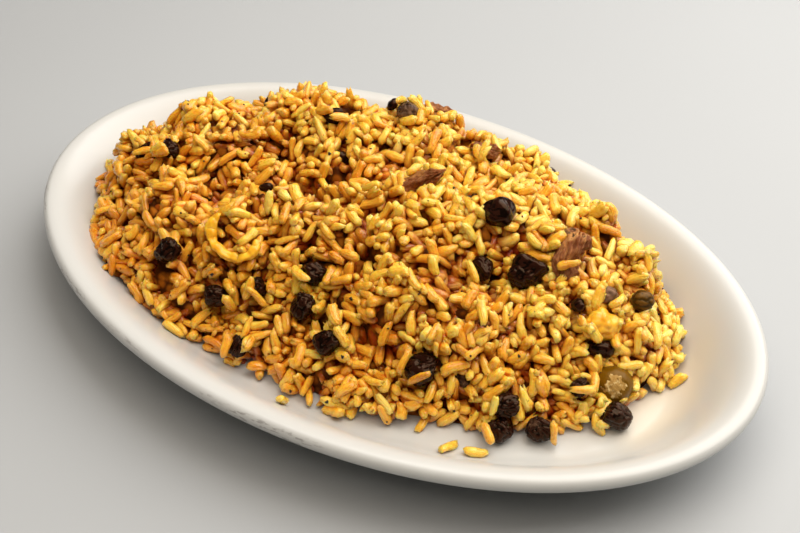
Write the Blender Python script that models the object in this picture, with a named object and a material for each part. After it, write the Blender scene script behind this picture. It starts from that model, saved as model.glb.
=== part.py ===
"""Rice and beans heaped on an oval platter, at real size.

Metres, +Z up. The origin is on the surface that the platter stands on, under
its middle, and +X runs along the platter.
"""

import math

import bmesh
import bpy
import numpy as np
from mathutils import Matrix, Vector, noise
from mathutils.bvhtree import BVHTree

OBJECT_NAME = "rice_and_beans_plate"

# Platter: heavy glazed ware with a rolled lip, a wide sloping rim and a low foot.
PLATTER_LENGTH = 0.260
PLATTER_WIDTH = 0.1667
RIM_HEIGHT = 0.026
RIM_SPAN = 0.029  # from the outer edge in to the flat of the well
WELL_HEIGHT = 0.0062
LIP_HEIGHT = 0.0048
LIP_REACH = 0.0024  # from the lip's crest out to its edge
SHOULDER_HEIGHT = 0.0012  # where the underside meets the foot
FOOT_OUTER = 0.030
FOOT_FLAT_START = 0.0312
FOOT_FLAT_END = 0.0352
FOOT_INNER = 0.0364
FOOT_RECESS = 0.0024
PLATTER_SIDES = 52  # a multiple of four, so that both axes reach full size
RIM_STEPS = 8
LIP_STEPS = 4
UNDER_STEPS = 6

# Heap: an oblong mound, turned a little on the platter, highest behind its middle.
HEAP_HALF_LENGTH = 0.107
HEAP_HALF_WIDTH = 0.061
HEAP_MIDDLE = (-0.0075, 0.003)
HEAP_TURN = math.radians(5)
HEAP_APEX = (-0.008, 0.014)
HEAP_TOP = 0.048
HEAP_CELLS = (36, 21)  # along and across
FRONT_BULGE, BACK_BULGE = 2.2, 4.0  # powers of the section: the front is a cone, the back a step
FRONT_STEEPNESS, BACK_STEEPNESS = 0.86, 0.62
LOBES = ((2.2, 0.05), (6.5, 0.03))  # of the outline: how many, how deep
ROUGHNESS = ((95, 0.0050), (210, 0.0024))  # of the top: cycles in a metre, height
UNDERSIDE_SHARES = (0.91, 0.80)
GAP = 0.0003  # between neighbours
BED_GAP = 0.0005  # above the platter

# Clumps and hollows of the heap: x, y, rise, reach.
CLUMPS = (
    (-0.042, -0.023, 0.003, 0.013),
    (-0.016, -0.014, 0.004, 0.014),
    (0.012, -0.005, 0.004, 0.014),
    (0.036, 0.006, 0.003, 0.014),
    (-0.078, 0.012, 0.004, 0.014),
    (-0.050, 0.032, 0.004, 0.014),
    (-0.012, 0.050, 0.005, 0.013),
    (0.026, 0.050, 0.004, 0.011),
    (0.054, 0.034, 0.003, 0.013),
    (0.078, 0.026, 0.002, 0.011),
    (0.030, -0.034, 0.003, 0.010),
    (0.052, -0.020, 0.003, 0.010),
    (-0.056, -0.012, -0.007, 0.009),
    (-0.040, -0.005, -0.009, 0.010),
    (-0.022, 0.003, -0.010, 0.010),
    (-0.004, 0.012, -0.008, 0.009),
    (-0.054, -0.030, -0.004, 0.009),
    (-0.004, -0.032, -0.005, 0.009),
    (-0.026, -0.044, -0.003, 0.009),
    (0.044, -0.004, -0.005, 0.009),
    (0.014, -0.046, -0.003, 0.008),
    (0.088, -0.007, -0.012, 0.011),
)
THINNEST_RICE = 0.002
HIGH_ABOVE = 0.2  # where a look down at the heap starts

# Beans: x, y, length, width, height, turn in degrees, lift of the middle above the rice.
BEANS = (
    (-0.0546, -0.0418, 0.0094, 0.0082, 0.0070, 70, 0.0012),
    (-0.0905, -0.0110, 0.0078, 0.0062, 0.0056, 60, 0.0010),
    (-0.0806, -0.0106, 0.0076, 0.0068, 0.0058, 10, 0.0010),
    (-0.0370, 0.0255, 0.0076, 0.0066, 0.0058, 20, 0.0002),
    (-0.0168, 0.0405, 0.0084, 0.0076, 0.0066, 40, 0.0014),
    (-0.0058, -0.0288, 0.0088, 0.0078, 0.0066, 15, 0.0006),
    (-0.0040, -0.0372, 0.0090, 0.0078, 0.0066, 100, 0.0004),
    (-0.0328, -0.0454, 0.0086, 0.0074, 0.0064, 5, 0.0004),
    (-0.0212, -0.0394, 0.0076, 0.0064, 0.0056, 20, -0.0002),
    (-0.0184, -0.0534, 0.0074, 0.0062, 0.0056, 75, 0.0002),
    (0.0098, -0.0440, 0.0090, 0.0078, 0.0066, 60, 0.0004),
    (0.0394, -0.0362, 0.0108, 0.0096, 0.0080, 50, 0.0010),
    (0.0372, 0.0094, 0.0100, 0.0094, 0.0080, 30, 0.0016),
    (0.0400, -0.0036, 0.0082, 0.0072, 0.0062, 140, -0.0004),
    (0.0524, 0.0024, 0.0124, 0.0114, 0.0096, 60, 0.0010),
    (0.0260, 0.0124, 0.0078, 0.0062, 0.0056, 70, 0.0002),
    (0.0366, 0.0250, 0.0082, 0.0066, 0.0056, 10, -0.0002),
    (0.0800, 0.0006, 0.0092, 0.0056, 0.0052, 25, 0.0012),
    (0.0752, 0.0112, 0.0086, 0.0066, 0.0054, 70, 0.0006),
    (0.0655, -0.0305, 0.0088, 0.0074, 0.0062, 35, 0.0008),
    (0.0762, -0.0280, 0.0096, 0.0078, 0.0066, 20, 0.0000),
    (0.0667, -0.0353, 0.0088, 0.0072, 0.0062, 160, 0.0000),
    (0.0928, -0.0108, 0.0110, 0.0082, 0.0074, 30, 0.0000),
    (0.0804, -0.0128, 0.0070, 0.0056, 0.0050, 90, 0.0006),
)
BEAN_WRINKLE = 0.00035
WRINKLE_WAVES = 420  # cycles in a metre, of every topping's skin

# Pieces of pork: x, y, length, width, height, turn in degrees, lift.
MEATS = (
    (0.0606, 0.0130, 0.0150, 0.0096, 0.0086, 75, 0.0010),
    (0.0066, 0.0128, 0.0160, 0.0080, 0.0064, 15, 0.0000),
    (-0.0110, 0.0505, 0.0100, 0.0054, 0.0050, 30, 0.0032),
    (0.0142, 0.0404, 0.0080, 0.0060, 0.0050, 20, 0.0000),
)
MEAT_WRINKLE = 0.0007

OLIVE = (0.0874, -0.0036, 0.0134, 0.0122, 0.0122, 30, -0.0018)
CAPER = (0.0836, 0.0200, 0.0076, 0.0070, 0.0066, 20, 0.0012)
SQUASH = (0.0772, 0.0040, 0.0104, 0.0080, 0.0072, 30, 0.0010)

# Onion: part of a ring lying on the rice, its middle, radii, thickness and the gap in it.
ONION_MIDDLE = (-0.0346, -0.0310)
ONION_RADII = (0.0084, 0.0068)
ONION_THICKNESS = 0.0034
ONION_START = math.radians(-215)
ONION_END = math.radians(35)
ONION_POINTS = 15


def ellipse_points(inset, height, sides=PLATTER_SIDES):
    """One ring of the platter: an ellipse whose two half axes are shorter by the inset."""
    half_x = PLATTER_LENGTH / 2 - inset
    half_y = PLATTER_WIDTH / 2 - inset
    turn = np.arange(sides) * 2 * math.pi / sides
    return np.column_stack([half_x * np.cos(turn), half_y * np.sin(turn), np.full(sides, height)])


def rim_height(inset):
    """Top of the platter at an inset from its edge: half a cosine wave from lip to well."""
    share = np.clip((RIM_SPAN - inset) / (RIM_SPAN - LIP_REACH), 0, 1)
    return WELL_HEIGHT + (RIM_HEIGHT - WELL_HEIGHT) * (1 - np.cos(math.pi * share)) / 2


def platter_section():
    """Inset and height of each ring, from the edge of the well, over the lip and under to the foot."""
    section = []
    for inset in np.linspace(RIM_SPAN, LIP_REACH, RIM_STEPS + 1):
        section.append((inset, float(rim_height(inset))))
    lip_middle = RIM_HEIGHT - LIP_HEIGHT / 2
    for angle in np.linspace(math.pi / 2, -math.pi / 2, LIP_STEPS + 1)[1:]:
        inset = LIP_REACH * (1 - math.cos(angle))
        section.append((inset, lip_middle + LIP_HEIGHT / 2 * math.sin(angle)))
    lip_underside = RIM_HEIGHT - LIP_HEIGHT
    for share in np.linspace(0, 1, UNDER_STEPS + 1)[1:]:
        drop = (lip_underside - SHOULDER_HEIGHT) * (1 - math.cos(math.pi * share)) / 2
        section.append((LIP_REACH + share * (FOOT_OUTER - LIP_REACH), lip_underside - drop))
    section.append((FOOT_FLAT_START, 0.0))
    section.append((FOOT_FLAT_END, 0.0))
    section.append((FOOT_INNER, FOOT_RECESS))
    return section


def loft(rings, first_centre, last_centre):
    """A closed body through rings of equal length, shut by a fan of faces at each end."""
    body = bmesh.new()
    loops = [[body.verts.new(point) for point in ring] for ring in rings]
    count = len(loops[0])
    for near, far in zip(loops, loops[1:]):
        for i in range(count):
            j = (i + 1) % count
            body.faces.new((near[i], near[j], far[j], far[i]))
    for loop, centre in ((loops[0], first_centre), (loops[-1], last_centre)):
        middle = body.verts.new(centre)
        for i in range(count):
            body.faces.new((loop[i], loop[(i + 1) % count], middle))
    bmesh.ops.recalc_face_normals(body, faces=body.faces)
    return body


def platter_body():
    """The whole platter as one closed loft, top and underside."""
    section = platter_section()
    rings = [ellipse_points(inset, height) for inset, height in section]
    return loft(rings, (0, 0, WELL_HEIGHT), (0, 0, FOOT_RECESS))


def inset_at(x, y):
    """How far inside the platter's edge a point of the plan lies, by halving."""
    low = np.full(np.shape(x), -0.02)
    high = np.full(np.shape(x), PLATTER_WIDTH / 2 - 0.001)
    for _ in range(40):
        middle = (low + high) / 2
        reach = (x / (PLATTER_LENGTH / 2 - middle)) ** 2 + (y / (PLATTER_WIDTH / 2 - middle)) ** 2
        low = np.where(reach < 1, middle, low)
        high = np.where(reach < 1, high, middle)
    return low


def heap_outline(turn):
    """Where the heap meets the platter: a turned ellipse with shallow lobes."""
    swell = np.ones(np.shape(turn))
    for waves, depth in LOBES:
        circle = [Vector((waves * math.cos(t), waves * math.sin(t), waves)) for t in turn]
        swell = swell + depth * np.array([noise.noise(point) for point in circle])
    along = HEAP_HALF_LENGTH * np.cos(turn) * swell
    across = HEAP_HALF_WIDTH * np.sin(turn) * swell
    x = HEAP_MIDDLE[0] + along * math.cos(HEAP_TURN) - across * math.sin(HEAP_TURN)
    y = HEAP_MIDDLE[1] + along * math.sin(HEAP_TURN) + across * math.cos(HEAP_TURN)
    return x, y


def clump_rise(x, y):
    """Height that the clumps add and the hollows take away."""
    rise = np.zeros(np.shape(x))
    for clump_x, clump_y, height, reach in CLUMPS:
        rise = rise + height * np.exp(-((x - clump_x) ** 2 + (y - clump_y) ** 2) / reach**2)
    return rise


def heap_surface(share, turn):
    """Points of the heap's top, at a share of the way from its apex to its outline.

    The height falls with (1 - share^bulge)^steepness, and both powers change
    from the front of the heap to its back. Clumps and hollows are added to it.
    """
    edge_x, edge_y = heap_outline(turn)
    edge_z = rim_height(inset_at(edge_x, edge_y)) + BED_GAP
    front = (1 - np.sin(turn)) / 2
    bulge = BACK_BULGE + (FRONT_BULGE - BACK_BULGE) * front
    steepness = BACK_STEEPNESS + (FRONT_STEEPNESS - BACK_STEEPNESS) * front
    x = HEAP_APEX[0] + (edge_x - HEAP_APEX[0]) * share
    y = HEAP_APEX[1] + (edge_y - HEAP_APEX[1]) * share
    level = np.clip(1 - share**bulge, 0, 1) ** steepness
    inland = 1 - share**10
    z = edge_z + (HEAP_TOP - edge_z) * level + clump_rise(x, y) * inland
    lowest = rim_height(inset_at(x, y)) + BED_GAP + THINNEST_RICE * inland
    return np.column_stack([x, y, np.maximum(z, lowest)])


def roughen(points, strength):
    """Pushes points out and up by noise of two sizes."""
    for point, scale in zip(points, strength):
        push = sum(height * noise.noise(Vector(point) * waves) for waves, height in ROUGHNESS)
        outward = Vector((point[0], point[1], HEAP_TOP)).normalized()
        point += np.array(outward) * push * scale


def heap_body():
    """A grid bent into a disc is the top; rings run in from its edge along the platter."""
    columns, rows = HEAP_CELLS
    across, along = np.meshgrid(np.linspace(-1, 1, rows + 1), np.linspace(-1, 1, columns + 1))
    disc_x = along * np.sqrt(1 - across**2 / 2)
    disc_y = across * np.sqrt(1 - along**2 / 2)
    turn = np.arctan2(disc_y, disc_x).ravel()
    reach = np.clip(np.hypot(disc_x, disc_y), 0, 1).ravel()
    share = (reach + np.sin(reach * math.pi / 2)) / 2
    top = heap_surface(share, turn)
    roughen(top, 1 - share**12)

    body = bmesh.new()
    grid = np.array([body.verts.new(point) for point in top]).reshape(columns + 1, rows + 1)
    for i in range(columns):
        for j in range(rows):
            body.faces.new((grid[i, j], grid[i + 1, j], grid[i + 1, j + 1], grid[i, j + 1]))
    near_loop = [*grid[:-1, 0], *grid[-1, :-1], *grid[:0:-1, -1], *grid[0, :0:-1]]
    edge = np.array([vert.co[:] for vert in near_loop])
    count = len(near_loop)
    for inward in UNDERSIDE_SHARES:
        x = HEAP_APEX[0] + (edge[:, 0] - HEAP_APEX[0]) * inward
        y = HEAP_APEX[1] + (edge[:, 1] - HEAP_APEX[1]) * inward
        z = rim_height(inset_at(x, y)) + BED_GAP
        far_loop = [body.verts.new(point) for point in zip(x, y, z)]
        for i in range(count):
            j = (i + 1) % count
            body.faces.new((near_loop[i], near_loop[j], far_loop[j], far_loop[i]))
        near_loop = far_loop
    body.faces.new(near_loop)
    bmesh.ops.recalc_face_normals(body, faces=body.faces)
    return body


def pebble(length, width, height, wrinkle, seed, squareness=1.0, detail=2):
    """A rounded lump at the origin: a ball stretched to size, its skin moved by noise.

    A squareness below one swells the ball towards a box with soft corners.
    """
    body = bmesh.new()
    bmesh.ops.create_icosphere(body, subdivisions=detail, radius=1)
    for vert in body.verts:
        signed = [math.copysign(abs(value) ** squareness, value) for value in vert.co]
        vert.co = Vector(signed) * Vector((length, width, height)) / 2
        vert.co += vert.co.normalized() * wrinkle * noise.noise(vert.co * WRINKLE_WAVES + seed)
    return body


def set_down(body, place, bed):
    """Turns a lump to lie on the bed's slope and sinks it to its lift."""
    x, y, turn, lift = place
    ground, normal = bed.ray_cast(Vector((x, y, HIGH_ABOVE)), Vector((0, 0, -1)))[:2]
    if ground is None:
        ground, normal = Vector((x, y, float(rim_height(inset_at(x, y))))), Vector((0, 0, 1))
    lean = Vector((0, 0, 1)).rotation_difference(normal).to_matrix().to_4x4()
    spin = Matrix.Rotation(math.radians(turn), 4, "Z")
    body.transform(Matrix.Translation(ground + normal * lift) @ lean @ spin)
    keep_off_platter(body)


def keep_off_platter(body):
    """Raises a body until no corner of it is nearer the platter than the bed gap."""
    corners = np.array([vert.co[:] for vert in body.verts])
    floor = rim_height(inset_at(corners[:, 0], corners[:, 1])) + BED_GAP
    shortfall = float(np.max(floor - corners[:, 2]))
    if shortfall > 0:
        body.transform(Matrix.Translation((0, 0, shortfall)))


def lump_on_heap(size_and_place, bed, wrinkle, squareness=1.0, detail=2):
    """One topping: a pebble of its own shape set down on the rice."""
    x, y, length, width, height, turn, lift = size_and_place
    seed = Vector((x, y, 0)) * WRINKLE_WAVES
    body = pebble(length, width, height, wrinkle, seed, squareness, detail)
    set_down(body, (x, y, turn, lift), bed)
    return body


def onion_body(bed):
    """An open ring of round section that follows the rice under it."""
    curve = bpy.data.curves.new("onion_path", "CURVE")
    curve.dimensions = "3D"
    curve.bevel_depth = ONION_THICKNESS / 2
    curve.bevel_resolution = 1
    curve.use_fill_caps = True
    path = curve.splines.new("POLY")
    path.points.add(ONION_POINTS - 1)
    for point, angle in zip(path.points, np.linspace(ONION_START, ONION_END, ONION_POINTS)):
        x = ONION_MIDDLE[0] + ONION_RADII[0] * math.cos(angle)
        y = ONION_MIDDLE[1] + ONION_RADII[1] * math.sin(angle)
        ground = bed.ray_cast(Vector((x, y, HIGH_ABOVE)), Vector((0, 0, -1)))[0]
        point.co = (x, y, ground.z + ONION_THICKNESS / 4, 1)
    tube = bpy.data.objects.new("onion_path", curve)
    bpy.context.scene.collection.objects.link(tube)
    graph = bpy.context.evaluated_depsgraph_get()
    mesh = bpy.data.meshes.new_from_object(tube.evaluated_get(graph))
    body = bmesh.new()
    body.from_mesh(mesh)
    bmesh.ops.remove_doubles(body, verts=body.verts, dist=0.00001)
    bpy.data.objects.remove(tube, do_unlink=True)
    bpy.data.meshes.remove(mesh)
    bmesh.ops.recalc_face_normals(body, faces=body.faces)
    return body


def finish(name, body, material, collection):
    """Turns a bmesh into a named, smooth object with its material."""
    mesh = bpy.data.meshes.new(name)
    body.to_mesh(mesh)
    body.free()
    mesh.materials.append(material)
    mesh.shade_smooth()
    node = bpy.data.objects.new(name, mesh)
    collection.objects.link(node)
    return node


def pocket(node, collection):
    """A cutter a gap larger than the node all round."""
    mesh = node.data.copy()
    body = bmesh.new()
    body.from_mesh(mesh)
    body.normal_update()
    for vert in body.verts:
        vert.co += vert.normal * GAP
    body.to_mesh(mesh)
    body.free()
    cutter = bpy.data.objects.new(node.name + "_pocket", mesh)
    cutter.hide_render = True
    cutter.display_type = "WIRE"
    collection.objects.link(cutter)


def principled(name, colour, roughness):
    """A plain Principled material: colour and roughness, with no metal in food or glaze."""
    material = bpy.data.materials.new(name)
    material.use_nodes = True
    shader = material.node_tree.nodes["Principled BSDF"]
    shader.inputs["Base Color"].default_value = (*colour, 1)
    shader.inputs["Roughness"].default_value = roughness
    shader.inputs["Metallic"].default_value = 0
    material.diffuse_color = (*colour, 1)
    return material


def clear_scene():
    """Empties the scene that Blender starts with."""
    for leftover in list(bpy.data.objects):
        bpy.data.objects.remove(leftover, do_unlink=True)


def main():
    clear_scene()
    parts = bpy.data.collections.new(OBJECT_NAME)
    cutters = bpy.data.collections.new("cutters")
    for collection in (parts, cutters):
        bpy.context.scene.collection.children.link(collection)

    glaze = principled("glaze", (0.86, 0.83, 0.77), 0.18)
    rice = principled("rice", (0.80, 0.42, 0.06), 0.45)
    bean_skin = principled("bean_skin", (0.045, 0.020, 0.018), 0.25)
    pork = principled("pork", (0.24, 0.07, 0.04), 0.45)
    olive_skin = principled("olive_skin", (0.22, 0.20, 0.03), 0.3)
    caper_skin = principled("caper_skin", (0.07, 0.08, 0.02), 0.35)
    onion_flesh = principled("onion_flesh", (0.82, 0.50, 0.10), 0.3)
    squash_flesh = principled("squash_flesh", (0.85, 0.48, 0.06), 0.35)

    finish("platter", platter_body(), glaze, parts)
    heap = heap_body()
    bed = BVHTree.FromBMesh(heap)
    toppings = []
    for number, bean in enumerate(BEANS, start=1):
        body = lump_on_heap(bean, bed, BEAN_WRINKLE)
        toppings.append(finish(f"bean_{number:02d}", body, bean_skin, parts))
    for number, meat in enumerate(MEATS, start=1):
        body = lump_on_heap(meat, bed, MEAT_WRINKLE, squareness=0.75)
        toppings.append(finish(f"pork_{number}", body, pork, parts))
    olive = lump_on_heap(OLIVE, bed, 0, detail=3)
    toppings.append(finish("olive", olive, olive_skin, parts))
    caper = lump_on_heap(CAPER, bed, BEAN_WRINKLE)
    toppings.append(finish("caper", caper, caper_skin, parts))
    squash = lump_on_heap(SQUASH, bed, BEAN_WRINKLE, squareness=0.85)
    toppings.append(finish("squash_lump", squash, squash_flesh, parts))
    toppings.append(finish("onion_ring", onion_body(bed), onion_flesh, parts))

    heap_node = finish("rice_heap", heap, rice, parts)
    for topping in toppings:
        pocket(topping, cutters)
    cut = heap_node.modifiers.new("pockets", "BOOLEAN")
    cut.operation = "DIFFERENCE"
    cut.operand_type = "COLLECTION"
    cut.collection = cutters
    cut.solver = "EXACT"


main()
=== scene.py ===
"""Looks of a plate of yellow rice and beans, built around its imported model.

Metres, +Z up. Every piece is made in place, and positions come from the frame.
"""

import math
from functools import lru_cache

import bpy
import numpy as np
from bpy.props import FloatProperty, FloatVectorProperty, IntProperty, PointerProperty
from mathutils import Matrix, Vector
from mathutils.bvhtree import BVHTree


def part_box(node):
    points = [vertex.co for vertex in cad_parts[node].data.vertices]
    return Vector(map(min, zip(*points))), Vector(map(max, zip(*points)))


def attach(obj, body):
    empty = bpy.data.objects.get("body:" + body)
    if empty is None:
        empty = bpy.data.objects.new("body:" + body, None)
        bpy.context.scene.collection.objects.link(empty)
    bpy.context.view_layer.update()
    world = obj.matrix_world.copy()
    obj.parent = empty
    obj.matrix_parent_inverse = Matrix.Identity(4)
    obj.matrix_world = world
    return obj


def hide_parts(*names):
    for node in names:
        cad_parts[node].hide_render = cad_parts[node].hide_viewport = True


bl_info = {
    "name": "Rice and Beans Plate",
    "version": (1, 0, 0),
    "blender": (4, 5, 0),
    "location": "3D View > Sidebar > Rice Plate",
    "description": "Glazed platter heaped with loose rice grains, beans, pork, olive and onion",
    "category": "Object",
}

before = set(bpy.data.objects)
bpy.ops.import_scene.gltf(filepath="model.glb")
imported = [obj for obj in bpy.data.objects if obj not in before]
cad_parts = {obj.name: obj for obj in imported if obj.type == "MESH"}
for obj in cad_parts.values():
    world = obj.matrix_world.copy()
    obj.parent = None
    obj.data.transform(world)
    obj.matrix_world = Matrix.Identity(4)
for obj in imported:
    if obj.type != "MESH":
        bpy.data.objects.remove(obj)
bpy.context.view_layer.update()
PLATTER_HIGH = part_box("platter")[1]
HEAP_LOW, HEAP_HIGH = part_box("rice_heap")
MM = 0.001


# ---- settings


def a_length(name, description, default):
    return FloatProperty(name=name, description=description, default=default, unit="LENGTH", min=0)


def a_share(name, description, default):
    return FloatProperty(name=name, description=description, default=default, min=0, max=4, subtype="FACTOR")


def an_angle(name, description, degrees):
    return FloatProperty(name=name, description=description, default=math.radians(degrees), subtype="ANGLE")


def a_colour(name, description, *default):
    return FloatVectorProperty(
        name=name, description=description, default=default, size=3, min=0, max=1, subtype="COLOR"
    )


class PlatterSettings(bpy.types.PropertyGroup):
    rim_span: a_length("Rim span", "From the outer edge in to the flat of the well", 0.029)
    lip_reach: a_length("Lip reach", "From the lip's crest out to its edge", 0.0024)
    lip_height: a_length("Lip height", "Thickness of the rolled lip", 0.0048)
    well_height: a_length("Well height", "Top of the well above the table", 0.0062)
    glaze: a_colour("Glaze", "Warm white of the glaze", 0.56, 0.56, 0.54)
    stain: a_colour("Oil stain", "Tan film of cooking oil beside the rice", 0.72, 0.55, 0.30)
    scuff: a_colour("Scuffs", "Grey metal marks on the lip", 0.16, 0.14, 0.125)


class RiceSettings(bpy.types.PropertyGroup):
    grain_length: a_length("Grain length", "Mean length of a whole cooked grain", 0.0079)
    grain_width: a_length("Grain width", "Mean width of a whole cooked grain", 0.0033)
    layer: a_length("Layer depth", "How deep the loose grains lie over the core", 0.0078)
    fill: a_share("Fill", "Volume of the grains as a share of the layer's", 1.12)
    proud: a_length("Proud", "How far the most upright grains stand out", 0.0032)
    rounds: IntProperty(name="Rounds", description="How often the grains push apart", default=60, min=1)
    seed: IntProperty(name="Seed", description="Start of the chance numbers", default=7)
    # The shaded grain is partly painted shade: the painted tint slope pushes the left of the heap towards
    # it.
    shade: a_colour("Shaded grain", "Grain soaked in stock", 0.72, 0.25, 0.007)
    amber: a_colour("Amber grain", "Most of the grains", 0.90, 0.425, 0.026)
    bright: a_colour("Bright grain", "Yellow grain", 0.97, 0.60, 0.064)
    pale: a_colour("Pale grain", "Grain that took up least colour", 0.98, 0.73, 0.17)


class BeanSettings(bpy.types.PropertyGroup):
    wrinkle: a_length("Wrinkle", "Depth of the folds in a bean's skin", 0.0005)
    black: a_colour("Black skin", "Darkest skin", 0.004, 0.0018, 0.0012)
    purple: a_colour("Purple skin", "Thinner skin between the folds", 0.020, 0.0055, 0.003)
    grey: a_colour("Worn skin", "Dry, loose skin", 0.21, 0.115, 0.065)


class ToppingSettings(bpy.types.PropertyGroup):
    pork_dark: a_colour("Pork fibre, dark", "Grooves between the fibres", 0.17, 0.042, 0.012)
    pork_light: a_colour("Pork fibre, light", "Crests of the fibres", 0.40, 0.165, 0.058)
    olive: a_colour("Olive skin", "Green of the olive", 0.110, 0.050, 0.001)
    olive_torn: a_colour("Torn olive", "Tan flesh where the skin is torn", 0.36, 0.20, 0.050)
    caper: a_colour("Caper", "Dark olive bud", 0.040, 0.018, 0.002)
    onion: a_colour("Onion", "Cooked onion stained by the stock", 0.92, 0.46, 0.024)
    squash: a_colour("Squash", "Soft yellow lump", 0.92, 0.46, 0.030)


class StageSettings(bpy.types.PropertyGroup):
    lens: FloatProperty(name="Lens", description="Focal length in millimetres", default=60, min=10)
    target: FloatVectorProperty(
        name="Target", description="Aim of the camera", default=(0.00321, 0.00594, 0.015), unit="LENGTH"
    )
    azimuth: an_angle("Azimuth", "Camera's turn round the plate", 33.83)
    elevation: an_angle("Elevation", "Camera above the horizon", 40.84)
    distance: a_length("Distance", "Camera to target", 0.4463)
    key_power: FloatProperty(name="Key light", description="Large softbox at the right, watts", default=7.8)
    fill_power: FloatProperty(name="Fill light", description="Softbox above, in watts", default=4.3)
    ambient: a_share("Ambient", "Even light of the studio", 0.05)
    floor: a_colour("Floor", "Pale floor", 0.40, 0.412, 0.42)


SETTINGS = {
    "rice_plate_platter": PlatterSettings,
    "rice_plate_rice": RiceSettings,
    "rice_plate_beans": BeanSettings,
    "rice_plate_toppings": ToppingSettings,
    "rice_plate_stage": StageSettings,
}


def settings_of(group):
    return getattr(bpy.context.scene, "rice_plate_" + group)


# ---- shader maths


def maths(operation, turned=False):
    """An operator that adds a Math node. Its reflected form has the two sides turned about."""

    def join(one, other):
        sides = (other, one) if turned else (one, other)
        return one.wires.node("Math", *sides, operation=operation)

    return join


class Value:
    """A shader socket that can stand in a sum."""

    def __init__(self, wires, socket):
        self.wires, self.socket = wires, socket

    __add__ = __radd__ = maths("ADD")
    __mul__ = __rmul__ = maths("MULTIPLY")
    __sub__ = maths("SUBTRACT")
    __rsub__ = maths("SUBTRACT", turned=True)
    __truediv__ = maths("DIVIDE")
    __pow__ = maths("POWER")


class Wires:
    """One Principled material. Constants sit on the shader's own sockets."""

    def __init__(self, name, **constants):
        self.material = bpy.data.materials.new(name)
        self.material.use_nodes = True
        self.tree = self.material.node_tree
        self.shader = self.tree.nodes["Principled BSDF"]
        for label, value in constants.items():
            self.shader.inputs[label.replace("_", " ")].default_value = value
        self.place = self.node("TexCoord", result="Object")

    def node(self, kind, *given, result=None, stops=(), inputs=None, **settings):
        """Any node: its settings and stops first, then values or links by the sockets' order or name."""
        made = self.tree.nodes.new("ShaderNode" + kind)
        for name, value in settings.items():
            setattr(made, name, value)
        if stops:
            ramp = made.color_ramp
            while len(ramp.elements) < len(stops):
                ramp.elements.new(1)
            for element, (place, shade) in zip(ramp.elements, stops):
                element.position = place
                element.color = (*shade, 1)
        sockets = [socket for socket in made.inputs if socket.enabled]
        for socket, value in zip(sockets, given):
            self.feed(socket, value)
        for name, value in (inputs or {}).items():
            self.feed(next(socket for socket in sockets if socket.name == name), value)
        results = [socket for socket in made.outputs if socket.enabled]
        return Value(self, next(socket for socket in results if result in (None, socket.name)))

    def feed(self, socket, value):
        if isinstance(value, Value):
            self.tree.links.new(value.socket, socket)
        elif socket.type == "RGBA":
            socket.default_value = (*tuple(value)[:3], 1)
        else:
            socket.default_value = value

    def feature(self, name, result="Fac"):
        return self.node("Attribute", attribute_name=name, result=result)

    def noise(self, scale, detail=3, roughness=0.5, where=None):
        inputs = {"Vector": where or self.place, "Scale": scale, "Detail": detail, "Roughness": roughness}
        return self.node("TexNoise", inputs=inputs, result="Fac")

    def streaks(self, where, *scales, detail=3):
        """Noise with its own scale along each axis of a place."""
        return self.noise(1, detail, 0.6, self.node("VectorMath", where, scales, operation="MULTIPLY"))

    def window(self, value, low, high):
        """Rises smoothly from 0 at low to 1 at high."""
        return self.node("MapRange", value, low, high, 0, 1, interpolation_type="SMOOTHSTEP")

    def mix(self, share, first, second, way="MIX"):
        return self.node("Mix", share, first, second, data_type="RGBA", blend_type=way)

    def blend(self, value, low, high, first, second):
        """Passes from the first colour to the second as a value rises from low to high."""
        return self.mix(self.window(value, low, high), first, second)

    def bump(self, height, strength, distance):
        return self.node("Bump", inputs={"Strength": strength, "Distance": distance, "Height": height})

    def finish(self, colour, rough, normal=None):
        self.feed(self.shader.inputs["Base Color"], colour)
        self.feed(self.shader.inputs["Roughness"], rough)
        if normal:
            self.feed(self.shader.inputs["Normal"], normal)
        return self.material


def tinted(colour, *factors):
    """A colour with each of its channels scaled."""
    return tuple(min(1, share * factor) for share, factor in zip(colour, factors))


# ---- surfaces


def unit(vectors):
    return vectors / np.maximum(np.linalg.norm(vectors, axis=-1, keepdims=True), 1e-12)


def ripples(points, wavelength, seed):
    """Soft unevenness, mostly from -1 to 1: a sum of eight sine waves that run in random directions."""
    waves = 8
    chance = np.random.default_rng(seed)
    ways = unit(chance.normal(size=(waves, 3))) * math.tau / wavelength
    ways *= chance.uniform(0.65, 1.5, (waves, 1))
    phase = chance.uniform(0, math.tau, waves)
    return np.sin(points @ ways.T + phase).sum(-1) / math.sqrt(waves)


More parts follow.
